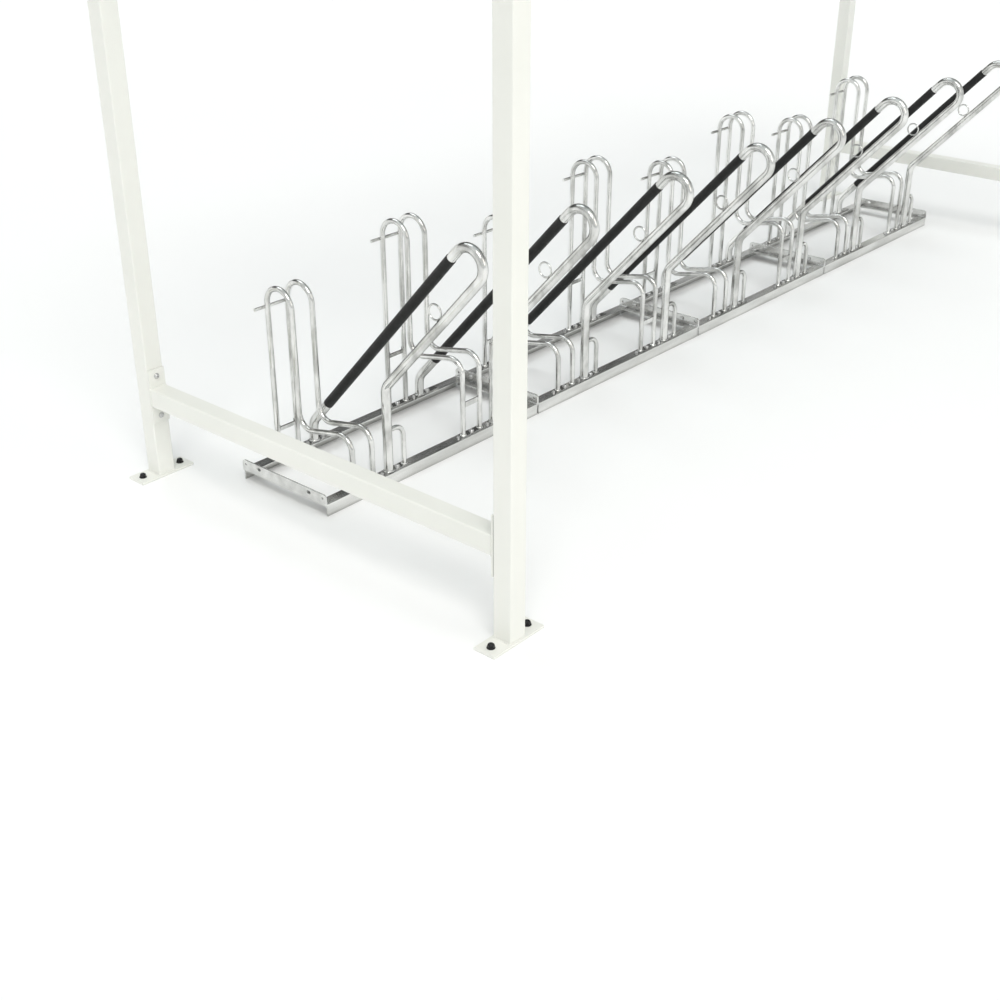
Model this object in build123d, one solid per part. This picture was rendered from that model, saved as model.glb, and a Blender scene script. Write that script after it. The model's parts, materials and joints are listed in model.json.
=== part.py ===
from build123d import *
import math
import os

# A bike shelter: four square posts, two end rails, a clear sloping roof and a row of floor racks.
# X runs along the row, +Y is the back, Z is up, in millimetres.
# The origin is on the ground under the middle of the roof.

# Posts with their welded base plates and head plates
post_side = 60
post_wall = 3
post_corner_r = 4
post_height = 2100
post_spacing_x = 4294
post_spacing_y = 1480
base_plate_length = 200
base_plate_width = 70
base_plate_thickness = 8
base_bolt_spacing = 145
base_bolt_hole_d = 14
head_plate_length = 170
head_plate_thickness = 8
head_bolt_spacing = 125
head_bolt_hole_d = 13

# End rails between a front post and a back post, with bolted end plates
rail_side = 60
rail_wall = 3
rail_corner_r = 4
rail_centre_height = 278
rail_plate_height = 178
rail_plate_thickness = 6
rail_bolt_spacing = 132
rail_bolt_hole_d = 11

# Roof beams along the row
beam_width = 60
beam_height = 100
beam_wall = 3
beam_corner_r = 4
beam_cap_thickness = 3
beam_overhang = 120

# Tapered rafters: an upright blade under a sloping flange
rafter_count = 5
rafter_blade_thickness = 8
rafter_flange_width = 50
rafter_flange_thickness = 5
rafter_tip_depth = 50
rafter_seat_margin = 60
rafter_rise = 100
roof_slope_degrees = 2.6

# Clear sheets, their cover strips and their edge channels
sheet_depth = 2200
sheet_thickness = 6
sheet_joint = 10
sheet_overhang = 32
strip_width = 50
strip_thickness = 3
channel_lip = 25
channel_wall = 2
channel_clearance = 3

# The rack row: bolted-together modules with two places each
module_count = 4
module_length = 1003
rack_depth = 388
rack_front_y = 111
places_per_module = 2
angle_height = 40
angle_flange = 40
angle_thickness = 4

# Angle bars across the module ends, with a ledge that points inward
end_bar_thickness = 4
end_bar_bottom = 34
end_bar_height = 38
end_bar_corner_r = 12
end_ledge_depth = 36
end_slot_length = 18
end_slot_height = 10
end_slot_inset = 78
end_slot_drop = 14
end_hole_d = 8
end_hole_inset = 16

# Foot plates on the angles
foot_plate_thickness = 4
foot_plate_width = 28
foot_plate_margin = 6
foot_hole_d = 9

# Wheel holders: two bent hoops side by side
hoop_d = 17.2
hoop_inset = 135
hoop_spacing = 82
hoop_neck = 113
hoop_low_top = 618
hoop_lift = 98
hoop_run_height = 168
hoop_run_slope_degrees = 11.8
hoop_bend_r = 48
rear_link_height = 12
rear_link_thickness = 6
rear_link_drop = 486
front_link_height = 18
front_link_thickness = 4
front_link_centre = 150
rod_d = 10
rod_drop = 72
rod_overhang = 42
rod_sink = 2

# Lean bars with their side brace and lock ring
lean_d = 30
lean_inset = 287
lean_gap = 108
lean_knee_height = 328
lean_heel_height = 108
lean_reach = 578
lean_knee_r = 52
lean_heel_r = 60
brace_d = 16
brace_offset = 69
brace_height = 181
brace_bend_r = 38
ring_wire_d = 6
ring_d = 48
ring_distance = 366
ring_sink = 2

# The shortest straight run worth making between two bends of a bar
shortest_run = 0.01

# Sleeves on the upper run of the lean bars
sleeve_wall = 1.5
sleeve_start = 120
sleeve_length = 818

# Places that follow from the sizes above
half_x = post_spacing_x / 2
half_y = post_spacing_y / 2
beam_top = post_height + beam_height
beam_length = post_spacing_x + post_side + 2 * beam_overhang
roof_slope = math.radians(roof_slope_degrees)
rafter_span = beam_length - rafter_flange_width
rafter_pitch = rafter_span / (rafter_count - 1)
rafter_xs = [i * rafter_pitch - rafter_span / 2 for i in range(rafter_count)]
rafter_length = sheet_depth - 2 * sheet_overhang
roof_frame = Pos(0, 0, beam_top + rafter_rise) * Rot(-roof_slope_degrees, 0, 0)
row_length = module_count * module_length
place_pitch = module_length / places_per_module
rack_back_y = rack_front_y + rack_depth
front_foot_y = rack_front_y + angle_flange / 2
rear_foot_y = rack_back_y - angle_flange / 2
foot_top = angle_height + foot_plate_thickness
feet_apart = rear_foot_y - front_foot_y
lean_drop = lean_knee_height - lean_heel_height
lean_slope = math.atan2(lean_drop, feet_apart) + math.asin(lean_gap / math.hypot(feet_apart, lean_drop))
lean_along = (-math.cos(lean_slope), math.sin(lean_slope))
lean_across = (math.sin(lean_slope), math.cos(lean_slope))


def square_tube(size_x, size_y, wall, corner_r, length):
    """An upright rectangular tube standing on the origin."""
    section = RectangleRounded(size_x, size_y, corner_r) - Rectangle(size_x - 2 * wall, size_y - 2 * wall)
    return extrude(section, length)


def drilled_plate(length, width, thickness, hole_spacing, hole_d):
    """A flat plate on the origin with two holes in a row along X."""
    holes = [Pos(side * hole_spacing / 2, 0, 0) * Circle(hole_d / 2) for side in (-1, 1)]
    return extrude(Rectangle(length, width) - holes, thickness)


def bent_wire(points, radii):
    """A wire of straight runs through the points, with a tangent arc of each radius at each corner."""
    edges = []
    start = Vector(points[0])
    for before, corner, after, radius in zip(points, points[1:], points[2:], radii):
        corner = Vector(corner)
        arriving = (corner - Vector(before)).normalized()
        leaving = (Vector(after) - corner).normalized()
        half_turn = math.radians(arriving.get_angle(leaving)) / 2
        setback = radius * math.tan(half_turn)
        bend_start = corner - arriving * setback
        bend_end = corner + leaving * setback
        inward = (leaving - arriving).normalized()
        bend_middle = corner + inward * (radius / math.cos(half_turn) - radius)
        if (bend_start - start).length > shortest_run:
            edges.append(Edge.make_line(start, bend_start))
        edges.append(Edge.make_three_point_arc(bend_start, bend_middle, bend_end))
        start = bend_end
    edges.append(Edge.make_line(start, Vector(points[-1])))
    return Wire(edges)


def bent_bar(points, radii, diameter):
    """A round bar bent along the points."""
    path = bent_wire(points, radii)
    start_plane = Plane(path @ 0, z_dir=path % 0)
    return sweep(start_plane * Circle(diameter / 2), path)


def in_plane(x, pairs):
    """Points of an outline given as y and z in the upright plane at x."""
    return [(x, y, z) for y, z in pairs]


# Posts
def post(side_x, side_y):
    tube_length = post_height - base_plate_thickness - head_plate_thickness
    base = drilled_plate(
        base_plate_length, base_plate_width, base_plate_thickness, base_bolt_spacing, base_bolt_hole_d
    )
    tube = square_tube(post_side, post_side, post_wall, post_corner_r, tube_length)
    head = drilled_plate(head_plate_length, post_side, head_plate_thickness, head_bolt_spacing, head_bolt_hole_d)
    whole = base + Pos(0, 0, base_plate_thickness) * tube
    whole += Pos(0, 0, post_height - head_plate_thickness) * head
    return Pos(side_x * half_x, side_y * half_y, 0) * whole


# End rails
def end_rail(side_x):
    clear_span = post_spacing_y - post_side
    tube_length = clear_span - 2 * rail_plate_thickness
    tube = square_tube(rail_side, rail_side, rail_wall, rail_corner_r, tube_length)
    plate = drilled_plate(
        rail_plate_height, post_side, rail_plate_thickness, rail_bolt_spacing, rail_bolt_hole_d
    )
    upright_plate = Rot(0, 0, 90) * plate
    lying = Pos(0, 0, rail_plate_thickness) * tube + upright_plate
    lying += Pos(0, 0, clear_span - rail_plate_thickness) * upright_plate
    placed = Pos(0, -clear_span / 2, rail_centre_height) * Rot(-90, 0, 0) * lying
    return Pos(side_x * half_x, 0, 0) * placed


# Roof beams
def beam(side_y):
    tube_length = beam_length - 2 * beam_cap_thickness
    tube = square_tube(beam_height, beam_width, beam_wall, beam_corner_r, tube_length)
    cap = extrude(RectangleRounded(beam_height, beam_width, beam_corner_r), beam_cap_thickness)
    standing = cap + Pos(0, 0, beam_cap_thickness) * tube
    standing += Pos(0, 0, beam_length - beam_cap_thickness) * cap
    lying = Pos(-beam_length / 2, 0, 0) * Rot(0, 90, 0) * standing
    return Pos(0, side_y * half_y, post_height + beam_height / 2) * lying


# Rafters
def rafter(x):
    tip_y = rafter_length / 2 * math.cos(roof_slope)
    seat_y = half_y + beam_width / 2 + rafter_seat_margin
    middle_top = beam_top + rafter_rise - rafter_flange_thickness / 2
    front_top = middle_top + tip_y * math.tan(roof_slope)
    back_top = middle_top - tip_y * math.tan(roof_slope)
    outline = [
        (-tip_y, front_top),
        (-tip_y, front_top - rafter_tip_depth),
        (-seat_y, beam_top),
        (seat_y, beam_top),
        (tip_y, back_top - rafter_tip_depth),
        (tip_y, back_top),
    ]
    blade = extrude(Plane.YZ * make_face(Polyline(outline, close=True)), rafter_blade_thickness / 2, both=True)
    flange = roof_frame * Pos(0, 0, -rafter_flange_thickness / 2) * Box(
        rafter_flange_width, rafter_length, rafter_flange_thickness
    )
    return Pos(x, 0, 0) * (blade + flange)


# Roof sheets
def sheet(index):
    first = index == 0
    last = index == rafter_count - 2
    start = rafter_xs[index] + (-rafter_flange_width / 2 if first else sheet_joint / 2)
    end = rafter_xs[index + 1] + (rafter_flange_width / 2 if last else -sheet_joint / 2)
    panel = Box(end - start, sheet_depth, sheet_thickness)
    return roof_frame * Pos((start + end) / 2, 0, sheet_thickness / 2) * panel


def cover_strips():
    length = sheet_depth - 2 * (channel_lip + channel_clearance)
    strip = Box(strip_width, length, strip_thickness)
    height = sheet_thickness + strip_thickness / 2
    return [roof_frame * Pos(x, 0, height) * strip for x in rafter_xs]


def edge_channel(side_y):
    outer = Box(beam_length, channel_lip + channel_wall, sheet_thickness + 2 * channel_wall)
    slot = Pos(0, -side_y * channel_wall, 0) * Box(beam_length, channel_lip + channel_wall, sheet_thickness)
    middle = sheet_depth / 2 + channel_wall - (channel_lip + channel_wall) / 2
    return roof_frame * Pos(0, side_y * middle, sheet_thickness / 2) * (outer - slot)


# Rack bases
def angle_rail(length):
    """An angle along X: its web stands outside at y zero and its flange lies inward on top."""
    web = Box(length, angle_thickness, angle_height, align=(Align.MIN, Align.MIN, Align.MIN))
    flange = Box(length, angle_flange, angle_thickness, align=(Align.MIN, Align.MIN, Align.MAX))
    return web + Pos(0, 0, angle_height) * flange


def end_bar():
    """An angle bar across a module end: its outer face at x zero, its ledge along +X between the flanges."""
    middle_z = end_bar_bottom + end_bar_height / 2
    top = end_bar_bottom + end_bar_height
    outline = Pos(rack_depth / 2, middle_z) * Rectangle(rack_depth, end_bar_height)
    outline = fillet(outline.vertices().sort_by(Axis.Y)[-2:], end_bar_corner_r)
    for mirrored in (1, -1):
        slot_x = rack_depth / 2 + mirrored * (rack_depth / 2 - end_slot_inset)
        hole_x = rack_depth / 2 + mirrored * (rack_depth / 2 - end_hole_inset)
        outline -= Pos(slot_x, top - end_slot_drop) * SlotOverall(end_slot_length, end_slot_height)
        outline -= Pos(hole_x, top - end_slot_drop) * Circle(end_hole_d / 2)
    ledge = Box(
        end_ledge_depth,
        rack_depth - 2 * angle_flange,
        end_bar_thickness,
        align=(Align.MIN, Align.CENTER, Align.MIN),
    )
    return extrude(Plane.YZ * outline, end_bar_thickness) + Pos(0, rack_depth / 2, end_bar_bottom) * ledge


def holder_hole_x(place_x):
    """The bolt between the two hoops of a place."""
    return place_x + hoop_inset + hoop_spacing / 2


def lean_hole_x(place_x):
    """The bolt halfway between the lean bar and its brace."""
    return place_x + lean_inset + (lean_d / 2 + brace_offset - brace_d / 2) / 2


def rack_base(module_x):
    length = module_length - 2 * end_bar_thickness
    front = Pos(end_bar_thickness, 0, 0) * angle_rail(length)
    back = Pos(end_bar_thickness, rack_depth, 0) * mirror(angle_rail(length), Plane.XZ)
    frame = front + back + end_bar() + Pos(module_length, 0, 0) * mirror(end_bar(), Plane.YZ)
    bore = Cylinder(foot_hole_d / 2, angle_height)
    for place in range(places_per_module):
        for x in (holder_hole_x(place * place_pitch), lean_hole_x(place * place_pitch)):
            for y in (angle_flange / 2, rack_depth - angle_flange / 2):
                frame -= Pos(x, y, angle_height) * bore
    return Pos(module_x, rack_front_y, 0) * frame


def foot_plate(start_x, end_x, hole_x, y):
    """A plate on an angle's flange from start to end, with its bolt hole."""
    plate = Rectangle(end_x - start_x, foot_plate_width)
    hole = Pos(hole_x - (start_x + end_x) / 2, 0) * Circle(foot_hole_d / 2)
    return Pos((start_x + end_x) / 2, y, angle_height) * extrude(plate - hole, foot_plate_thickness)


# Wheel holders
def hoop(x, lift):
    neck_y = rear_foot_y - hoop_neck
    rise = math.tan(math.radians(hoop_run_slope_degrees))
    run_start = hoop_run_height + lift
    run_end = run_start + rise * (neck_y - front_foot_y)
    top = hoop_low_top + lift
    outline = [
        (rear_foot_y, foot_top),
        (rear_foot_y, top),
        (neck_y, top),
        (neck_y, run_start),
        (front_foot_y, run_end),
        (front_foot_y, foot_top),
    ]
    radii = [hoop_neck / 2, hoop_neck / 2, hoop_bend_r, hoop_bend_r]
    return bent_bar(in_plane(x, outline), radii, hoop_d)


def wheel_holder(place_x, lift):
    first_x = place_x + hoop_inset
    second_x = first_x + hoop_spacing
    middle_x = holder_hole_x(place_x)
    plate_reach = hoop_d / 2 + foot_plate_margin
    holder = hoop(first_x, lift) + hoop(second_x, lift)
    for y in (front_foot_y, rear_foot_y):
        holder += foot_plate(first_x - plate_reach, second_x + plate_reach, middle_x, y)
    top = hoop_low_top + lift
    rear_link = Box(hoop_spacing, rear_link_thickness, rear_link_height)
    holder += Pos(middle_x, rear_foot_y, top - rear_link_drop) * rear_link
    if lift:
        front_link = Box(hoop_spacing, front_link_thickness, front_link_height)
        holder += Pos(middle_x, front_foot_y, front_link_centre) * front_link
    rod_start = first_x - rod_overhang
    rod_length = second_x + hoop_d / 2 - rod_start
    rod = Cylinder(rod_d / 2, rod_length, rotation=(0, 90, 0), align=(Align.CENTER, Align.CENTER, Align.MIN))
    rod_y = rear_foot_y + (hoop_d + rod_d) / 2 - rod_sink
    return holder + Pos(rod_start, rod_y, top - rod_drop) * rod


# Lean bars
def lean_point(along, across):
    """A place in the lean bar's upright plane, measured from its knee along and across the slope."""
    y = front_foot_y + along * lean_along[0] + across * lean_across[0]
    z = lean_knee_height + along * lean_along[1] + across * lean_across[1]
    return y, z


def lean_heel():
    """The corner above the rear foot, on the upper run: how far along the slope, and its place."""
    along = feet_apart * lean_along[0] - lean_drop * lean_along[1]
    return along, (rear_foot_y, lean_heel_height)


def lean_bar(place_x):
    x = place_x + lean_inset
    turn_r = lean_gap / 2
    outline = [
        (rear_foot_y, foot_top),
        lean_heel()[1],
        lean_point(lean_reach + turn_r, lean_gap),
        lean_point(lean_reach + turn_r, 0),
        lean_point(0, 0),
        (front_foot_y, foot_top),
    ]
    bar = bent_bar(in_plane(x, outline), [lean_heel_r, turn_r, turn_r, lean_knee_r], lean_d)
    brace_x = x + brace_offset
    brace_points = [
        (x, front_foot_y, brace_height),
        (brace_x, front_foot_y, brace_height),
        (brace_x, front_foot_y, foot_top),
    ]
    bar += bent_bar(brace_points, [brace_bend_r], brace_d)
    plate_start = x - lean_d / 2 - foot_plate_margin
    plate_end = brace_x + brace_d / 2 + foot_plate_margin
    for y in (front_foot_y, rear_foot_y):
        bar += foot_plate(plate_start, plate_end, lean_hole_x(place_x), y)
    ring_y, ring_z = lean_point(ring_distance, lean_d / 2 + (ring_d + ring_wire_d) / 2 - ring_sink)
    ring = Torus(ring_d / 2, ring_wire_d / 2, rotation=(0, 90, 0))
    return bar + Pos(x, ring_y, ring_z) * ring


def sleeve(place_x):
    heel_along = lean_heel()[0]
    y, z = lean_point(heel_along + sleeve_start, lean_gap)
    axis = Plane((place_x + lean_inset, y, z), z_dir=(0, lean_along[0], lean_along[1]))
    section = Circle(lean_d / 2 + sleeve_wall) - Circle(lean_d / 2)
    return axis * extrude(section, sleeve_length)


# Every named piece
pieces = {}
for side_x, end_name in ((-1, "left"), (1, "right")):
    for side_y, depth_name in ((-1, "front"), (1, "back")):
        pieces[f"{end_name}_{depth_name}_post"] = post(side_x, side_y)
    pieces[f"{end_name}_end_rail"] = end_rail(side_x)
for side_y, depth_name in ((-1, "front"), (1, "back")):
    pieces[f"{depth_name}_beam"] = beam(side_y)
    pieces[f"{depth_name}_edge_channel"] = edge_channel(side_y)
for index, x in enumerate(rafter_xs):
    pieces[f"rafter_{index + 1}"] = rafter(x)
for index in range(rafter_count - 1):
    pieces[f"roof_sheet_{index + 1}"] = sheet(index)
pieces["roof_cover_strips"] = Compound(children=cover_strips())
for index in range(module_count):
    module_x = index * module_length - row_length / 2
    low_x = module_x
    high_x = module_x + place_pitch
    name = f"rack_{index + 1}"
    pieces[f"{name}_base"] = rack_base(module_x)
    pieces[f"{name}_low_holder"] = wheel_holder(low_x, 0)
    pieces[f"{name}_high_holder"] = wheel_holder(high_x, hoop_lift)
    pieces[f"{name}_low_lean_bar"] = lean_bar(low_x)
    pieces[f"{name}_high_lean_bar"] = lean_bar(high_x)
    pieces[f"{name}_sleeves"] = Compound(children=[sleeve(low_x), sleeve(high_x)])

os.makedirs("parts", exist_ok=True)
for name, shape in pieces.items():
    export_step(shape, f"parts/{name}.step")
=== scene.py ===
import json
import math
from collections import namedtuple

import bmesh
import bpy
from mathutils import Matrix, Vector


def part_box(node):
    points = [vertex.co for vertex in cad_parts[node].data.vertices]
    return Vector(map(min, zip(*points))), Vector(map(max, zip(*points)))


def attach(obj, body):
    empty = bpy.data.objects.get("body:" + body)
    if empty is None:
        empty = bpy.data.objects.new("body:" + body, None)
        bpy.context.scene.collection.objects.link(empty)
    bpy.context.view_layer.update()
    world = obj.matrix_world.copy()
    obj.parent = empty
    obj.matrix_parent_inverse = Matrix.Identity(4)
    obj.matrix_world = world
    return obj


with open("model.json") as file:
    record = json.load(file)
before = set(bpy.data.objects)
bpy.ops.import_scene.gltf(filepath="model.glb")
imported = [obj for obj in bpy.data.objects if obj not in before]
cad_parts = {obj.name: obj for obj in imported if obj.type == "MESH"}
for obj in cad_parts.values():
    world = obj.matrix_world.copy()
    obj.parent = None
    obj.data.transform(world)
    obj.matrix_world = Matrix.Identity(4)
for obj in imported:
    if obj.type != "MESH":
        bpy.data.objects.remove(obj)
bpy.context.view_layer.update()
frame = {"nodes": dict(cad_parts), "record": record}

# Lengths are in metres, in the frame of the solids: X along the row, +Y to the back, Z up.
MM = 0.001
BODY = "root"

# The photograph's camera
CAMERA_PLACE = (-4.463, -2.722, 2.022)
CAMERA_HEADING = math.radians(48.987)
CAMERA_DIP = math.radians(27.873)
CAMERA_SENSOR_MM = 36.0
CAMERA_LENS_MM = 50.1

# The solids' own sizes that the details follow
BASE_PLATE = 8 * MM
HEAD_PLATE = 8 * MM
HEAD_BOLT_SPACING = 125 * MM
RAIL_PLATE = 6 * MM
RAIL_BOLT_SPACING = 132 * MM
TUBE_SIDE = 60 * MM
TUBE_CORNER = 4 * MM
RAFTER_BLADE = 8 * MM
ANGLE_HEIGHT = 40 * MM
ANGLE_FLANGE = 40 * MM
ANGLE_WALL = 4 * MM
END_BAR = 4 * MM
FOOT_PLATE = 4 * MM
FOOT_TOP = ANGLE_HEIGHT + FOOT_PLATE
FOOT_MARGIN = 6 * MM
HOOP_D = 17.2 * MM
HOOP_SPACING = 82 * MM
REAR_LINK = (6 * MM, 12 * MM)
REAR_LINK_DROP = 486 * MM
FRONT_LINK = (4 * MM, 18 * MM)
FRONT_LINK_HEIGHT = 150 * MM
ROD_D = 10 * MM
ROD_DROP = 72 * MM
ROD_SINK = 2 * MM
LEAN_D = 30 * MM
BRACE_D = 16 * MM
BRACE_OFFSET = 69 * MM
LEAN_SLOPE = math.radians(47.51)
LEAN_KNEE_HEIGHT = 328 * MM
RING_DISTANCE = 366 * MM
RAFTER_RISE = 100 * MM
ROOF_SLOPE = math.radians(2.6)
SHEET = 6 * MM
STRIP = 3 * MM
STRIP_WIDTH = 50 * MM
STRIP_LENGTH = 2144 * MM

# Welds
COATED_BEAD = 2.6 * MM
ROOF_BEAD = 4 * MM
RACK_BEAD = 3.2 * MM
LINK_BEAD = 2.4 * MM
BEAD_SINK = 0.6 * MM
BEAD_ARC_STEPS = 4
BEAD_STEP = 2 * MM
RIPPLE_PITCH = 7 * MM
RIPPLE_SHARE = 0.09
ROD_SPOT_SHARE = 0.42
RING_SPOT_REACH = 3 * MM
SPOT_STEPS = 20
SPOT_ARC_STEPS = 6
SPOT_SINK_MM = 1

# Weld spots in millimetres: radius and height
ROD_SPOT = (4.2, 3.0)
RING_SPOT = (4.4, 3.4)

# Bolts in millimetres: width over the flats, height of the head, radius of the washer
HEAD_BOLT = (19, 7.5, 12)
SIDE_BOLT = (10, 5, 6.4)
JOINT_BOLT = (13, 5.3, 8)
ROOF_SCREW = (8, 4.6, 7.2)

# Nuts in the same way, then the radius of the bolt's end and how far it stands out
FOOT_NUT = (13, 6.5, 8, 4, 3)
JOINT_NUT = (13, 6.5, 8, 4, 4)

# What the hexagon bolts and nuts have in common, in millimetres or as shares
WASHER_MM = 1.6
RIM_MM = 0.3
HEAD_STRAIGHT_SHARE = 0.84
HEAD_TOP_SHARE = 0.46
STUD_ROOT_SHARE = 1.12
STUD_CHAMFER_MM = 0.8

# How bolts are placed and turned, in metres, radians, and radians a metre along the row
SIDE_BOLT_GAP = 9 * MM
RAIL_BOLT_TURN = 0.4
SIDE_BOLT_TURN = 3

# Roof trim
STRIP_SCREWS = 8
STRIP_END_INSET = 60 * MM
SEAL = 1.6 * MM
LIP_WIDTH = 3 * MM
LIP_HEIGHT = 1.6 * MM
LIP_ARC_STEPS = 6

# Angles in degrees above which an edge of a piece is drawn sharp
EDGE_SHARP = 40
CAP_SHARP = 50
BEAD_SHARP = 70

# Samples of the painted crevice shade and of the edge shader, and the band of openness in which the painted
# shade darkens crevices
OCCLUSION_SAMPLES = 8
OCCLUSION_BAND = (0.3, 0.75)
EDGE_SAMPLES = 4

# Floor and backdrop
FLOOR_RADIUS = 17.0
COVE_RADIUS = 3.0
COVE_STEPS = 12
BACKDROP_HEIGHT = 5.5
STAGE_STEPS = 96

# The dome: its brighter side, the levels of both sides, and the bands in which it changes
DOME_BRIGHT_SIDE = (-0.5, -0.6, 0.62)
DOME_BRIGHT = 0.80
DOME_DIM = 0.10
DOME_COLOUR = (0.98, 1.0, 0.99)
DOME_BAND = (-0.2, 0.8)
HORIZON_BAND = (0.28, 0.34)
HORIZON_LEVEL = 1.0

# Lamps
SUN_PLACE = (0, 0, 5)
KEY_TOWARD = (0.42, 0.5, -0.9)
KEY_STRENGTH = 1.28
KEY_COLOUR = (1.0, 0.985, 0.96)
KEY_ANGLE = math.radians(32)
BACK_TOWARD = (-0.1, -0.5, -0.86)
BACK_STRENGTH = 0.6
BACK_COLOUR = (0.92, 0.98, 1.0)
BACK_ANGLE = math.radians(36)
FRONT_PLACE = (-1.3, -3.1, 1.9)
FRONT_AIM = (-2.15, -0.74, 0.7)
FRONT_WATTS = 8.0
FRONT_COLOUR = (1.0, 0.93, 0.83)
FRONT_SIZE = 1.6

ENDS = ("left", "right")
DEPTHS = ("front", "back")
RACKS = (1, 2, 3, 4)
HEIGHTS = ("low", "high")
RAFTERS = (1, 2, 3, 4, 5)
UP = Vector((0, 0, 1))
ALONG = Vector((1, 0, 0))
BACK = Vector((0, 1, 0))


# Forms
class Shape:
    """The points and faces of one piece, gathered from simpler forms."""

    def __init__(self):
        self.points = []
        self.faces = []

    def add(self, points, faces, place=None):
        first = len(self.points)
        self.points.extend(place @ Vector(p) if place else Vector(p) for p in points)
        self.faces.extend([first + i for i in face] for face in faces)


def turned(profile, steps=36):
    """A closed form round Z; the profile runs from axis to axis as radius, height and share of hexagon."""
    points, rings = [], []
    for radius, height, *hexagon in profile:
        if radius == 0:
            rings.append([len(points)])
            points.append((0, 0, height))
            continue
        share = hexagon[0] if hexagon else 0
        ring = []
        for i in range(steps):
            angle = 2 * math.pi * i / steps
            flat_angle = angle % (math.pi / 3) - math.pi / 6
            reach = radius * (1 - share + share * math.cos(math.pi / 6) / math.cos(flat_angle))
            ring.append(len(points))
            points.append((reach * math.cos(angle), reach * math.sin(angle), height))
        rings.append(ring)
    faces = []
    for lower, upper in zip(rings, rings[1:]):
        for i in range(steps):
            j = (i + 1) % steps
            if len(lower) == 1:
                faces.append([lower[0], upper[j], upper[i]])
            elif len(upper) == 1:
                faces.append([lower[i], lower[j], upper[0]])
            else:
                faces.append([lower[i], lower[j], upper[j], upper[i]])
    return points, faces


def standing_at(place, axis=UP, spin=0.0):
    """A matrix that carries Z to the axis and the origin to the place."""
    turn = UP.rotation_difference(Vector(axis)).to_matrix().to_4x4()
    return Matrix.Translation(Vector(place)) @ turn @ Matrix.Rotation(spin, 4, "Z")


def bead(shape, path, up, leg, closed):
    """A fillet weld along a path of places and outward directions; up is the other wall's direction."""
    arc = [math.radians(90) * i / BEAD_ARC_STEPS for i in range(BEAD_ARC_STEPS + 1)]
    section = [(-BEAD_SINK, -BEAD_SINK)] + [(leg * math.sin(a), leg * math.cos(a)) for a in arc]
    points, travelled = [], 0.0
    for i, (place, outward) in enumerate(path):
        if i:
            travelled += (place - path[i - 1][0]).length
        swell = 1 + RIPPLE_SHARE * math.sin(2 * math.pi * travelled / RIPPLE_PITCH)
        points.extend(place + outward * across * swell + up * rise * swell for across, rise in section)
    size, count = len(section), len(path)
    faces = []
    for i in range(count if closed else count - 1):
        here, there = i * size, (i + 1) % count * size
        for k in range(size):
            following = (k + 1) % size
            faces.append([here + k, here + following, there + following, there + k])
    if not closed:
        faces.append(list(range(size)))
        faces.append(list(range((count - 1) * size, count * size)))
    shape.add(points, faces)


def round_path(centre, radius, steps=40):
    """Places and outward directions round an upright tube."""
    path = []
    for i in range(steps):
        angle = 2 * math.pi * i / steps
        outward = Vector((math.cos(angle), math.sin(angle), 0))
        path.append((Vector(centre) + outward * radius, outward))
    return path


def square_path(centre, side, corner, across, over, arc_steps=6):
    """Places and outward directions round a square tube, in the plane of two directions."""
    inset = side / 2 - corner
    side_steps = round(2 * inset / BEAD_STEP)
    path = []
    for quarter in range(4):
        middle = math.radians(90) * (quarter + 0.5)
        corner_centre = across * math.copysign(inset, math.cos(middle))
        corner_centre += over * math.copysign(inset, math.sin(middle))
        for i in range(arc_steps + 1):
            angle = math.radians(90) * (quarter + i / arc_steps)
            outward = across * math.cos(angle) + over * math.sin(angle)
            path.append((centre + corner_centre + outward * corner, outward))
        last, facing = path[-1]
        direction = over * math.cos(angle) - across * math.sin(angle)
        path.extend((last + direction * 2 * inset * i / side_steps, facing) for i in range(1, side_steps))
    return path


def straight_path(start, end, outward):
    """Places along a straight weld, all with one outward direction."""
    count = max(2, round((end - start).length / BEAD_STEP))
    return [(start.lerp(end, i / count), outward) for i in range(count + 1)]


def make_piece(name, shape, material, sharp_degrees=EDGE_SHARP):
    """A mesh piece that rides on the shelter."""
    mesh = bpy.data.meshes.new(name)
    mesh.from_pydata([tuple(p) for p in shape.points], [], shape.faces)
    mesh.validate()
    form = bmesh.new()
    form.from_mesh(mesh)
    bmesh.ops.recalc_face_normals(form, faces=form.faces)
    form.to_mesh(mesh)
    form.free()
    for face in mesh.polygons:
        face.use_smooth = True
    mesh.set_sharp_from_angle(angle=math.radians(sharp_degrees))
    mesh.materials.append(material)
    piece = bpy.data.objects.new(name, mesh)
    bpy.context.scene.collection.objects.link(piece)
    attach(piece, BODY)


# Profiles of the fasteners
def in_mm(profile):
    return [(radius * MM, height * MM, *rest) for radius, height, *rest in profile]


def anchor_cap():
    """A domed plastic cap over an anchor's nut: a flange, a hexagon and a rounded top."""
    return in_mm([
        (0, 0), (11.6, 0), (11.9, 0.8), (11.7, 1.7), (10.9, 2.3), (10.6, 2.6, 1), (10.3, 7, 1),
        (9.8, 9.2, 0.8), (8.6, 11.4, 0.4), (6.7, 12.9, 0.1), (4.1, 13.8), (0, 14.1),
    ])


def button_bolt():
    """A button head with a hexagon socket, on a washer."""
    return in_mm([
        (0, 0), (9.0, 0), (9.3, 0.3), (9.3, 1.3), (9.0, 1.6), (8.0, 1.6), (8.1, 2.6), (7.6, 4.2),
        (6.4, 5.6), (5.0, 6.4), (3.7, 6.7), (3.4, 6.5, 1), (3.4, 3.4, 1), (0, 3.0),
    ])


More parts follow.
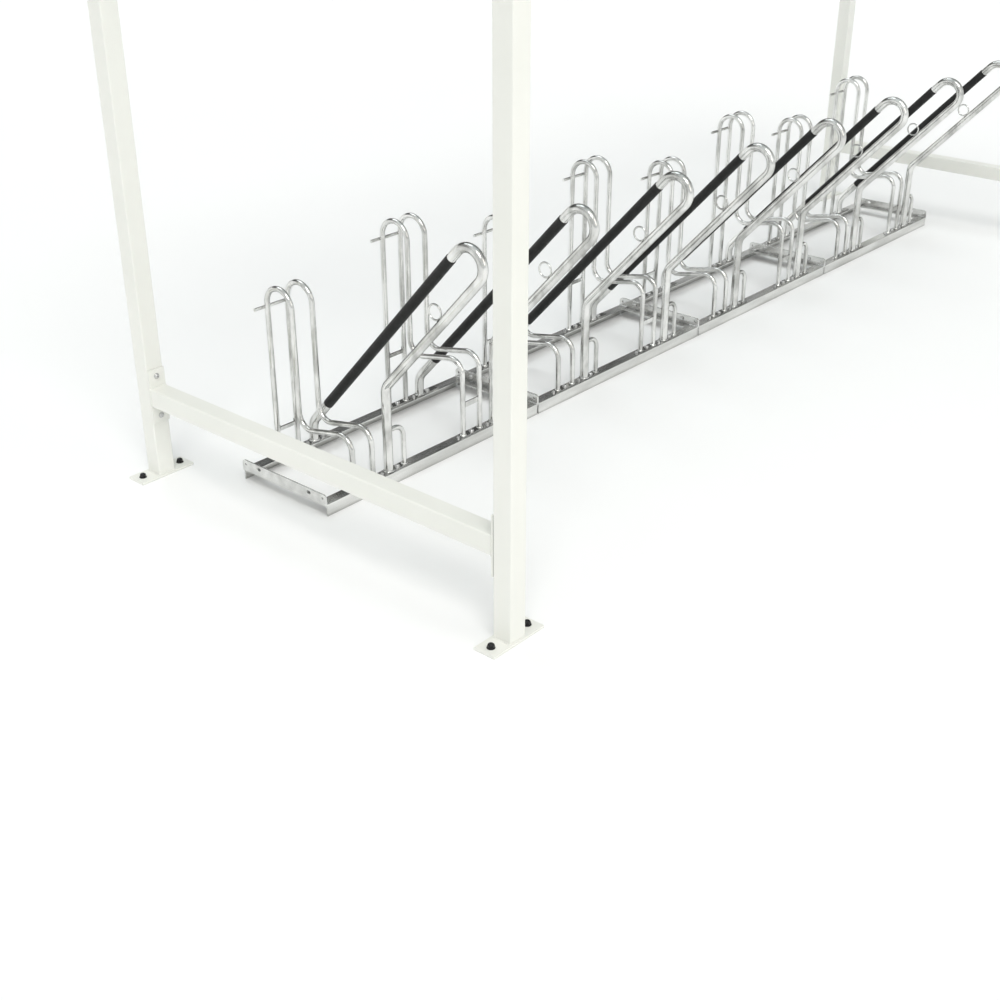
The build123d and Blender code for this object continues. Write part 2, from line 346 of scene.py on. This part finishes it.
def hex_bolt(across, head, washer):
    """A hexagon head on a washer, from the width over its flats, its height and the washer's radius."""
    corner = across / 2 / math.cos(math.pi / 6)
    flat_washer = washer - RIM_MM
    top = WASHER_MM + head
    return in_mm([
        (0, 0), (flat_washer, 0), (washer, RIM_MM), (washer, WASHER_MM - RIM_MM), (flat_washer, WASHER_MM),
        (corner, WASHER_MM, 1), (corner, WASHER_MM + head * HEAD_STRAIGHT_SHARE, 1),
        (across * HEAD_TOP_SHARE, top), (0, top),
    ])


def hex_nut(across, height, washer, stud, stud_height):
    """A hexagon nut on a washer with its bolt's end standing out of it."""
    top = WASHER_MM + height
    end = top + stud_height
    return hex_bolt(across, height, washer)[:-1] + in_mm([
        (stud * STUD_ROOT_SHARE, top), (stud, top + RIM_MM), (stud, end - STUD_CHAMFER_MM),
        (stud - STUD_CHAMFER_MM, end), (0, end),
    ])


def sealing_washer():
    """A rubber washer under a roof screw, pressed out at its rim."""
    seal = SEAL / MM
    return in_mm([(0, 0), (7.9, 0), (8.3, seal * 0.4), (7.8, seal), (0, seal)])


def weld_spot(radius, height):
    """A low lump of weld."""
    arc = [math.radians(90) * i / SPOT_ARC_STEPS for i in range(SPOT_ARC_STEPS)]
    dome = [(radius * math.cos(a), height * math.sin(a)) for a in arc]
    return in_mm([(0, -SPOT_SINK_MM)] + dome + [(0, height)])


# Materials
class Nodes:
    """A material's node tree with short ways to add to it."""

    def __init__(self, name, **values):
        self.material = bpy.data.materials.new(name)
        self.material.use_nodes = True
        self.tree = self.material.node_tree
        self.shader = self.tree.nodes["Principled BSDF"]
        for key, value in values.items():
            self.shader.inputs[key.replace("_", " ").title().replace("Ior", "IOR")].default_value = value
        self.coordinates = self.tree.nodes.new("ShaderNodeTexCoord").outputs["Object"]

    def node(self, kind, **links):
        made = self.tree.nodes.new(kind)
        for key, value in links.items():
            socket = made.inputs[key.replace("_", " ")]
            if isinstance(value, bpy.types.NodeSocket):
                self.tree.links.new(value, socket)
            else:
                socket.default_value = value
        return made

    def link(self, output, input_name):
        self.tree.links.new(output, self.shader.inputs[input_name])

    def stretched(self, scale):
        return self.node("ShaderNodeMapping", Vector=self.coordinates, Scale=scale).outputs["Vector"]

    def noise(self, scale, detail=4.0, roughness=0.55, vector=None):
        made = self.node("ShaderNodeTexNoise", Scale=scale, Detail=detail, Roughness=roughness)
        self.tree.links.new(vector or self.coordinates, made.inputs["Vector"])
        return made.outputs["Fac"]

    def cells(self, scale):
        """A random grey for each crystal cell."""
        made = self.node("ShaderNodeTexVoronoi", Vector=self.coordinates, Scale=scale)
        return self.node("ShaderNodeSeparateColor", Color=made.outputs["Color"]).outputs["Red"]

    def plus(self, base, extra, share):
        """The first value with a share of the second added."""
        made = self.tree.nodes.new("ShaderNodeMath")
        made.operation = "MULTIPLY_ADD"
        self.tree.links.new(extra, made.inputs[0])
        made.inputs[1].default_value = share
        self.tree.links.new(base, made.inputs[2])
        return made.outputs[0]

    def between(self, value, low, high, from_low=0.3, from_high=0.7):
        made = self.node(
            "ShaderNodeMapRange", Value=value, From_Min=from_low, From_Max=from_high, To_Min=low, To_Max=high)
        return made.outputs["Result"]

    def shade(self, value, dark, light, from_low=0.3, from_high=0.7):
        made = self.node("ShaderNodeValToRGB", Fac=value)
        first, second = made.color_ramp.elements
        first.position, first.color = from_low, (*dark, 1)
        second.position, second.color = from_high, (*light, 1)
        return made.outputs["Color"]

    def bump(self, height, strength, distance, normal=None):
        made = self.node("ShaderNodeBump", Height=height, Strength=strength, Distance=distance)
        if normal:
            self.tree.links.new(normal, made.inputs["Normal"])
        return made.outputs["Normal"]

    def painted_crevice_shade(self, colour, reach, darkest):
        """The colour with painted shade: darker where another face is close."""
        near = self.node("ShaderNodeAmbientOcclusion", Distance=reach)
        near.samples = OCCLUSION_SAMPLES
        # Painted shade: the more the occlusion node finds other faces close, the further the colour is
        # darkened.
        depth = self.between(near.outputs["AO"], darkest, 1.0, *OCCLUSION_BAND)
        made = self.tree.nodes.new("ShaderNodeMix")
        made.data_type = "RGBA"
        made.blend_type = "MULTIPLY"
        factor, first, second = (s for s in made.inputs if s.enabled)
        factor.default_value = 1.0
        self.tree.links.new(colour, first)
        self.tree.links.new(depth, second)
        return next(s for s in made.outputs if s.enabled)

    def soft_edges(self, radius):
        made = self.node("ShaderNodeBevel", Radius=radius)
        made.samples = EDGE_SAMPLES
        return made.outputs["Normal"]


def white_coating():
    """Warm white powder coat: a slight unevenness of tone, painted shade in the seams between parts, and a
    faint orange peel.
    """
    m = Nodes("white_coating", roughness=0.32)
    cloud = m.noise(scale=3.5, detail=5.0)
    tone = m.shade(cloud, dark=(0.82, 0.825, 0.775), light=(0.85, 0.85, 0.805))
    # Painted shade: the colour darkens to 0.6 where another face is within 7 mm, in the seams and joints
    # between parts.
    m.link(m.painted_crevice_shade(tone, reach=7 * MM, darkest=0.6), "Base Color")
    peel = m.noise(scale=220.0, detail=2.0)
    m.link(m.bump(peel, strength=0.02, distance=0.2 * MM, normal=m.soft_edges(1.4 * MM)), "Normal")
    return m.material


def tube_zinc():
    """Bright galvanised tube: soft patches of tone, partly real spangle and partly a painted reflection of
    darker surroundings, a slightly wavy gloss and darker rims.
    """
    m = Nodes("bright_zinc", metallic=1.0, specular_tint=(0.3, 0.3, 0.29, 1))
    patches = m.noise(scale=15.0, detail=3.0, roughness=0.5, vector=m.stretched((1.0, 1.0, 0.6)))
    grain = m.noise(scale=60.0, detail=5.0, roughness=0.6, vector=m.stretched((1.0, 1.0, 0.3)))
    tone = m.plus(patches, grain, share=0.35)
    band = {"from_low": 0.5, "from_high": 0.78}
    # The darker patches of this colour are partly real spangle and partly painted reflection of darker
    # surroundings.
    m.link(m.shade(tone, dark=(0.51, 0.51, 0.495), light=(0.87, 0.87, 0.855), **band), "Base Color")
    m.link(m.between(tone, low=0.17, high=0.10, **band), "Roughness")
    waves = m.noise(scale=34.0, detail=3.0)
    m.link(m.bump(waves, strength=0.14, distance=0.6 * MM, normal=m.soft_edges(0.6 * MM)), "Normal")
    return m.material


def angle_zinc():
    """Hot-dip galvanised angle: streaks along the row over faint crystal cells, and painted shade in the
    inner corners and next to parts that stand on it.
    """
    m = Nodes("galvanised_angle", metallic=1.0, specular_tint=(0.8, 0.8, 0.8, 1))
    streaks = m.noise(scale=30.0, detail=3.0, roughness=0.5, vector=m.stretched((0.15, 1.0, 1.0)))
    tone = m.plus(streaks, m.cells(scale=75.0), share=0.03)
    band = {"from_low": 0.34, "from_high": 0.74}
    colour = m.shade(tone, dark=(0.64, 0.64, 0.625), light=(0.87, 0.87, 0.855), **band)
    # Painted shade: the colour darkens down to a quarter where another face is within 22 mm, inside the angle
    # and round the feet.
    m.link(m.painted_crevice_shade(colour, reach=22 * MM, darkest=0.25), "Base Color")
    m.link(m.between(tone, low=0.17, high=0.24, **band), "Roughness")
    m.link(m.bump(streaks, strength=0.04, distance=0.4 * MM, normal=m.soft_edges(2.2 * MM)), "Normal")
    return m.material


def bolt_zinc():
    """Electroplated fasteners: smooth, with a faint cloud."""
    m = Nodes("bolt_zinc", metallic=1.0)
    cloud = m.noise(scale=300.0, detail=3.0)
    m.link(m.shade(cloud, dark=(0.56, 0.56, 0.56), light=(0.70, 0.70, 0.70)), "Base Color")
    m.link(m.between(m.noise(scale=180.0), low=0.22, high=0.34), "Roughness")
    grain = m.noise(scale=500.0)
    m.link(m.bump(grain, strength=0.05, distance=0.2 * MM, normal=m.soft_edges(0.4 * MM)), "Normal")
    return m.material


def clear_sheet():
    """Clear polycarbonate with a faint cool tint."""
    m = Nodes("clear_sheet", ior=1.58, alpha=0.10)
    m.link(m.shade(m.noise(scale=1.2), dark=(0.50, 0.68, 0.73), light=(0.56, 0.73, 0.78)), "Base Color")
    m.link(m.between(m.noise(scale=6.0), low=0.04, high=0.09), "Roughness")
    return m.material


def mill_aluminium():
    """Extruded aluminium with fine lines along Y."""
    m = Nodes("mill_aluminium", metallic=1.0)
    lines = m.noise(scale=4.0, detail=4.0, roughness=0.6, vector=m.stretched((260.0, 6.0, 260.0)))
    m.link(m.shade(lines, dark=(0.66, 0.67, 0.68), light=(0.76, 0.77, 0.78)), "Base Color")
    m.link(m.between(lines, low=0.30, high=0.42), "Roughness")
    m.link(m.bump(lines, strength=0.08, distance=0.2 * MM, normal=m.soft_edges(0.6 * MM)), "Normal")
    return m.material


def black_sleeve():
    """Black shrink sleeve: matt, with a fine leathery grain."""
    m = Nodes("black_sleeve", specular_ior_level=0.3)
    cloud = m.noise(scale=30.0, detail=5.0)
    m.link(m.shade(cloud, dark=(0.009, 0.009, 0.009), light=(0.017, 0.017, 0.017)), "Base Color")
    m.link(m.between(m.noise(scale=90.0), low=0.44, high=0.60), "Roughness")
    grain = m.noise(scale=700.0, detail=3.0)
    m.link(m.bump(grain, strength=0.18, distance=0.3 * MM), "Normal")
    return m.material


def black_plastic():
    """Moulded black plastic of the caps and rubber of the washers and lips."""
    m = Nodes("black_plastic", specular_ior_level=0.3)
    cloud = m.noise(scale=120.0, detail=4.0)
    m.link(m.shade(cloud, dark=(0.006, 0.006, 0.007), light=(0.012, 0.012, 0.013)), "Base Color")
    m.link(m.between(m.noise(scale=240.0), low=0.22, high=0.34), "Roughness")
    grain = m.noise(scale=1500.0, detail=2.0)
    m.link(m.bump(grain, strength=0.10, distance=0.2 * MM, normal=m.soft_edges(0.8 * MM)), "Normal")
    return m.material


def pale_floor():
    """Matt studio paper."""
    m = Nodes("floor", roughness=0.9, specular_ior_level=0.0)
    m.link(m.shade(m.noise(scale=0.4), dark=(0.94, 0.94, 0.94), light=(0.955, 0.955, 0.955)), "Base Color")
    return m.material


MATERIALS = {
    "white_coating": white_coating(),
    "clear_sheet": clear_sheet(),
    "mill_aluminium": mill_aluminium(),
    "galvanised_angle": angle_zinc(),
    "bright_zinc": tube_zinc(),
    "black_sleeve": black_sleeve(),
}
BLACK_PLASTIC = black_plastic()
BOLT_ZINC = bolt_zinc()

SLOT_OF = {row["node"]: row["material_slot"] for row in frame["record"]["subparts"]}
for node_name, node in frame["nodes"].items():
    node.data.materials.clear()
    node.data.materials.append(MATERIALS[SLOT_OF[node_name]])


def mount(name):
    return next(m for m in frame["record"]["mounts"] if m["name"] == name)


# Posts and rails
def post_details():
    """Capped anchors on the base plates, bolts under the head plates, and the welds of tubes to plates."""
    caps, bolts, welds = Shape(), Shape(), Shape()
    for end in ENDS:
        for depth in DEPTHS:
            low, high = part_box(f"{end}_{depth}_post")
            centre = (low + high) / 2
            spacing = mount(f"{end}_{depth}_base_bolts")["dims"]["spacing_x_mm"] * MM
            foot = Vector((centre.x, centre.y, BASE_PLATE))
            top = Vector((centre.x, centre.y, high.z - HEAD_PLATE))
            for side in (-1, 1):
                anchor = foot + ALONG * side * spacing / 2
                caps.add(*turned(anchor_cap()), standing_at(anchor, spin=side + centre.x + centre.y))
                head = top + ALONG * side * HEAD_BOLT_SPACING / 2
                bolts.add(*turned(hex_bolt(*HEAD_BOLT)), standing_at(head, -UP, spin=side))
            for joint, outward in ((foot, UP), (top, -UP)):
                path = square_path(joint, TUBE_SIDE, TUBE_CORNER, ALONG, BACK)
                bead(welds, path, outward, COATED_BEAD, True)
    make_piece("anchor_caps", caps, BLACK_PLASTIC, CAP_SHARP)
    make_piece("head_bolts", bolts, BOLT_ZINC)
    make_piece("post_welds", welds, MATERIALS["white_coating"], BEAD_SHARP)


def rail_details():
    """Button bolts in the rails' end plates and the welds of the rails to them."""
    bolts, welds = Shape(), Shape()
    for end in ENDS:
        low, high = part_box(f"{end}_end_rail")
        centre = (low + high) / 2
        for y, inward in ((low.y + RAIL_PLATE, BACK), (high.y - RAIL_PLATE, -BACK)):
            joint = Vector((centre.x, y, centre.z))
            for side in (-1, 1):
                place = joint + UP * side * RAIL_BOLT_SPACING / 2
                bolts.add(*turned(button_bolt()), standing_at(place, inward, spin=RAIL_BOLT_TURN * side))
            bead(welds, square_path(joint, TUBE_SIDE, TUBE_CORNER, ALONG, UP), inward, COATED_BEAD, True)
    make_piece("rail_bolts", bolts, BOLT_ZINC)
    make_piece("rail_welds", welds, MATERIALS["white_coating"], BEAD_SHARP)


# Racks
RackPlace = namedtuple("RackPlace", "hoops_x lean_x feet_y top is_high")


def rack_place(rack, height):
    """Where one place's hoops and lean bar stand along the row, the lines of its feet, and its top."""
    base_low, base_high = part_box(f"rack_{rack}_base")
    holder_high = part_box(f"rack_{rack}_{height}_holder")[1]
    lean_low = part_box(f"rack_{rack}_{height}_lean_bar")[0]
    second_x = holder_high.x - HOOP_D / 2 - FOOT_MARGIN
    return RackPlace(
        hoops_x=(second_x - HOOP_SPACING, second_x),
        lean_x=lean_low.x + LEAN_D / 2 + FOOT_MARGIN,
        feet_y=(base_low.y + ANGLE_FLANGE / 2, base_high.y - ANGLE_FLANGE / 2),
        top=holder_high.z,
        is_high=height == "high",
    )


def foot_bolts(bolts, place):
    """Button bolts with nuts through the foot plates, and a small bolt beside each plate."""
    first_x, second_x = place.hoops_x
    between_bars = (LEAN_D / 2 + BRACE_OFFSET - BRACE_D / 2) / 2
    plate_starts = (first_x - HOOP_D / 2 - FOOT_MARGIN, place.lean_x - LEAN_D / 2 - FOOT_MARGIN)
    for y in place.feet_y:
        for x in ((first_x + second_x) / 2, place.lean_x + between_bars):
            bolts.add(*turned(button_bolt()), standing_at((x, y, FOOT_TOP), spin=x))
            under = (x, y, ANGLE_HEIGHT - ANGLE_WALL)
            bolts.add(*turned(hex_nut(*FOOT_NUT)), standing_at(under, -UP))
        for x in plate_starts:
            beside = (x - SIDE_BOLT_GAP, y, ANGLE_HEIGHT)
            bolts.add(*turned(hex_bolt(*SIDE_BOLT)), standing_at(beside, spin=SIDE_BOLT_TURN * x))


def foot_welds(welds, place):
    """Beads round the feet of the hoops, the lean bar and its brace."""
    bars = [(x, HOOP_D / 2) for x in place.hoops_x] + [(place.lean_x, LEAN_D / 2)]
    for y in place.feet_y:
        for x, radius in bars:
            bead(welds, round_path((x, y, FOOT_TOP), radius), UP, RACK_BEAD, True)
    brace = (place.lean_x + BRACE_OFFSET, place.feet_y[0], FOOT_TOP)
    bead(welds, round_path(brace, BRACE_D / 2), UP, RACK_BEAD, True)


def link_welds(welds, place):
    """Beads on both sides of both ends of the links between the hoops."""
    first_x, second_x = place.hoops_x
    front_y, back_y = place.feet_y
    links = [(back_y, place.top - REAR_LINK_DROP, REAR_LINK)]
    if place.is_high:
        links.append((front_y, FRONT_LINK_HEIGHT, FRONT_LINK))
    for y, z, (thick, tall) in links:
        reach = math.sqrt((HOOP_D / 2) ** 2 - (thick / 2) ** 2)
        for x, inward in ((first_x + reach, ALONG), (second_x - reach, -ALONG)):
            for side in (-1, 1):
                middle = Vector((x, y + side * thick / 2, z))
                weld = straight_path(middle - UP * tall / 2, middle + UP * tall / 2, BACK * side)
                bead(welds, weld, inward, LINK_BEAD, False)


def spot_welds(welds, place):
    """Lumps where the thin rod crosses the hoops and where the lock ring meets the lean bar."""
    front_y, back_y = place.feet_y
    for x in place.hoops_x:
        crossing = Vector((x, back_y + HOOP_D / 2 - ROD_SINK / 2, place.top - ROD_DROP))
        for side in (-1, 1):
            spot = crossing + UP * side * ROD_D * ROD_SPOT_SHARE
            welds.add(*turned(weld_spot(*ROD_SPOT), SPOT_STEPS), standing_at(spot, UP * side))
    along = Vector((0, -math.cos(LEAN_SLOPE), math.sin(LEAN_SLOPE)))
    across = Vector((0, math.sin(LEAN_SLOPE), math.cos(LEAN_SLOPE)))
    knee = Vector((place.lean_x, front_y, LEAN_KNEE_HEIGHT))
    ring_foot = knee + along * RING_DISTANCE + across * (LEAN_D / 2 - BEAD_SINK)
    for side in (-1, 1):
        spot = ring_foot + ALONG * side * RING_SPOT_REACH
        welds.add(*turned(weld_spot(*RING_SPOT), SPOT_STEPS), standing_at(spot, across))


def rack_feet_details():
    """The bolts of the foot plates, and the welds of hoops, lean bars, braces, links, rods and rings."""
    bolts, welds = Shape(), Shape()
    for rack in RACKS:
        for height in HEIGHTS:
            place = rack_place(rack, height)
            foot_bolts(bolts, place)
            foot_welds(welds, place)
            link_welds(welds, place)
            spot_welds(welds, place)
    make_piece("rack_foot_bolts", bolts, BOLT_ZINC)
    make_piece("rack_welds", welds, MATERIALS["bright_zinc"], BEAD_SHARP)


def rack_joint_details():
    """The bolts that join module to module, and the welds of the angles to their end bars."""
    bolts, welds = Shape(), Shape()
    slots = mount("left_row_end_slots")
    _, slot_y, slot_z = slots["pos_m"]
    reach = slots["dims"]["spacing_x_mm"] * MM / 2
    for rack in RACKS:
        low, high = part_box(f"rack_{rack}_base")
        for side in (-1, 1):
            if rack < RACKS[-1]:
                place = Vector((high.x, slot_y + side * reach, slot_z))
                head = standing_at(place - ALONG * END_BAR, -ALONG, spin=side)
                bolts.add(*turned(hex_bolt(*JOINT_BOLT)), head)
                nut = standing_at(place + ALONG * END_BAR, ALONG, spin=rack)
                bolts.add(*turned(hex_nut(*JOINT_NUT)), nut)
            flange_start = low.y if side < 0 else high.y - ANGLE_FLANGE
            for x, inward in ((low.x + END_BAR, ALONG), (high.x - END_BAR, -ALONG)):
                start = Vector((x, flange_start, ANGLE_HEIGHT))
                weld = straight_path(start, start + BACK * ANGLE_FLANGE, inward)
                bead(welds, weld, UP, RACK_BEAD, False)
    make_piece("rack_joint_bolts", bolts, BOLT_ZINC)
    make_piece("rack_base_welds", welds, MATERIALS["galvanised_angle"], BEAD_SHARP)


# Roof
def rubber_lip(shape, place):
    """A half-round lip along a strip's edge, in the roof's own frame."""
    arc = [math.radians(180) * i / LIP_ARC_STEPS for i in range(LIP_ARC_STEPS + 1)]
    section = [(math.cos(a) * LIP_WIDTH / 2, math.sin(a) * LIP_HEIGHT) for a in arc]
    size = len(section)
    points = [(x, y, z) for y in (-STRIP_LENGTH / 2, STRIP_LENGTH / 2) for x, z in section]
    faces = [[k, (k + 1) % size, size + (k + 1) % size, size + k] for k in range(size)]
    faces += [list(range(size)), list(range(size, 2 * size))]
    shape.add(points, faces, place)


def roof_details():
    """Screws with rubber washers in the cover strips, lips beside them, and the welds of rafters to beams."""
    screws, seals, lips, welds = Shape(), Shape(), Shape(), Shape()
    beam_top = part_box("front_beam")[1].z
    roof = Matrix.Translation((0, 0, beam_top + RAFTER_RISE)) @ Matrix.Rotation(-ROOF_SLOPE, 4, "X")
    span = STRIP_LENGTH - 2 * STRIP_END_INSET
    lip_offset = (STRIP_WIDTH + LIP_WIDTH) / 2
    outer_edges = ((RAFTERS[0], -1), (RAFTERS[-1], 1))
    for number in RAFTERS:
        low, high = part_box(f"rafter_{number}")
        x = (low.x + high.x) / 2
        for i in range(STRIP_SCREWS):
            y = span * (i / (STRIP_SCREWS - 1) - 0.5)
            seals.add(*turned(sealing_washer()), roof @ Matrix.Translation((x, y, SHEET + STRIP)))
            head = Matrix.Translation((x, y, SHEET + STRIP + SEAL)) @ Matrix.Rotation(i + number, 4, "Z")
            screws.add(*turned(hex_bolt(*ROOF_SCREW)), roof @ head)
        for side in (-1, 1):
            if (number, side) not in outer_edges:
                rubber_lip(lips, roof @ Matrix.Translation((x + side * lip_offset, 0, SHEET)))
            for depth in DEPTHS:
                beam_low, beam_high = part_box(f"{depth}_beam")
                start = Vector((x + side * RAFTER_BLADE / 2, beam_low.y + TUBE_CORNER, beam_top))
                end = Vector((start.x, beam_high.y - TUBE_CORNER, beam_top))
                bead(welds, straight_path(start, end, ALONG * side), UP, ROOF_BEAD, False)
    make_piece("strip_screws", screws, BOLT_ZINC)
    make_piece("strip_seals", seals, BLACK_PLASTIC)
    make_piece("strip_lips", lips, BLACK_PLASTIC, BEAD_SHARP)
    make_piece("rafter_welds", welds, MATERIALS["white_coating"], BEAD_SHARP)


# Stage
def backdrop():
    """A round pale floor that curves up into a low wall."""
    profile = [(0, 0), (FLOOR_RADIUS / 2, 0)]
    for i in range(COVE_STEPS + 1):
        angle = math.radians(90) * i / COVE_STEPS
        out, rise = math.sin(angle), 1 - math.cos(angle)
        profile.append((FLOOR_RADIUS + COVE_RADIUS * out, COVE_RADIUS * rise))
    profile.append((FLOOR_RADIUS + COVE_RADIUS, BACKDROP_HEIGHT))
    points, faces = turned(profile, STAGE_STEPS)
    mesh = bpy.data.meshes.new("floor")
    mesh.from_pydata(points, [], faces)
    mesh.validate()
    for face in mesh.polygons:
        face.use_smooth = True
    mesh.materials.append(pale_floor())
    floor = bpy.data.objects.new("floor", mesh)
    bpy.context.scene.collection.objects.link(floor)


def smooth_level(tree, value, band, first, last):
    """A level that passes smoothly from first to last while the value crosses the band."""
    made = tree.nodes.new("ShaderNodeMapRange")
    made.interpolation_type = "SMOOTHSTEP"
    for key, number in zip(("From Min", "From Max", "To Min", "To Max"), (*band, first, last)):
        made.inputs[key].default_value = number
    tree.links.new(value, made.inputs["Value"])
    return made.outputs["Result"]


def studio_world():
    """A soft dome, brighter on one side, white behind the rim of the wall."""
    world = bpy.data.worlds.new("studio")
    bpy.context.scene.world = world
    world.use_nodes = True
    tree = world.node_tree
    shine = tree.nodes["Background"]
    direction = tree.nodes.new("ShaderNodeTexCoord").outputs["Generated"]
    facing = tree.nodes.new("ShaderNodeVectorMath")
    facing.operation = "DOT_PRODUCT"
    facing.inputs[1].default_value = Vector(DOME_BRIGHT_SIDE).normalized()
    tree.links.new(direction, facing.inputs[0])
    height = tree.nodes.new("ShaderNodeSeparateXYZ")
    tree.links.new(direction, height.inputs["Vector"])
    dome = smooth_level(tree, facing.outputs["Value"], DOME_BAND, DOME_DIM, DOME_BRIGHT)
    horizon = smooth_level(tree, height.outputs["Z"], HORIZON_BAND, HORIZON_LEVEL, 0.0)
    brighter = tree.nodes.new("ShaderNodeMath")
    brighter.operation = "MAXIMUM"
    tree.links.new(dome, brighter.inputs[0])
    tree.links.new(horizon, brighter.inputs[1])
    tree.links.new(brighter.outputs["Value"], shine.inputs["Strength"])
    shine.inputs["Color"].default_value = (*DOME_COLOUR, 1)


def add_lamp(name, kind, place, toward, strength, colour):
    """A lamp at a place that shines along a direction."""
    lamp = bpy.data.lights.new(name, kind)
    lamp.energy = strength
    lamp.color = colour
    holder = bpy.data.objects.new(name, lamp)
    holder.location = place
    holder.rotation_euler = Vector(toward).to_track_quat("-Z", "Y").to_euler()
    holder.visible_camera = False
    bpy.context.scene.collection.objects.link(holder)
    return lamp


def lamps():
    """A soft key from the front left, a cooler one from behind, a warm panel aimed at the left front post."""
    key = add_lamp("key", "SUN", SUN_PLACE, KEY_TOWARD, KEY_STRENGTH, KEY_COLOUR)
    key.angle = KEY_ANGLE
    back = add_lamp("back", "SUN", SUN_PLACE, BACK_TOWARD, BACK_STRENGTH, BACK_COLOUR)
    back.angle = BACK_ANGLE
    toward = Vector(FRONT_AIM) - Vector(FRONT_PLACE)
    front = add_lamp("front", "AREA", FRONT_PLACE, toward, FRONT_WATTS, FRONT_COLOUR)
    front.size = FRONT_SIZE


def photo_camera():
    data = bpy.data.cameras.new("camera")
    data.sensor_width = CAMERA_SENSOR_MM
    data.lens = CAMERA_LENS_MM
    camera = bpy.data.objects.new("camera", data)
    camera.location = CAMERA_PLACE
    camera.rotation_euler = (math.radians(90) - CAMERA_DIP, 0, -CAMERA_HEADING)
    bpy.context.scene.collection.objects.link(camera)
    bpy.context.scene.camera = camera


post_details()
rail_details()
rack_feet_details()
rack_joint_details()
roof_details()
backdrop()
studio_world()
lamps()
photo_camera()
bpy.context.scene.view_settings.view_transform = "Standard"
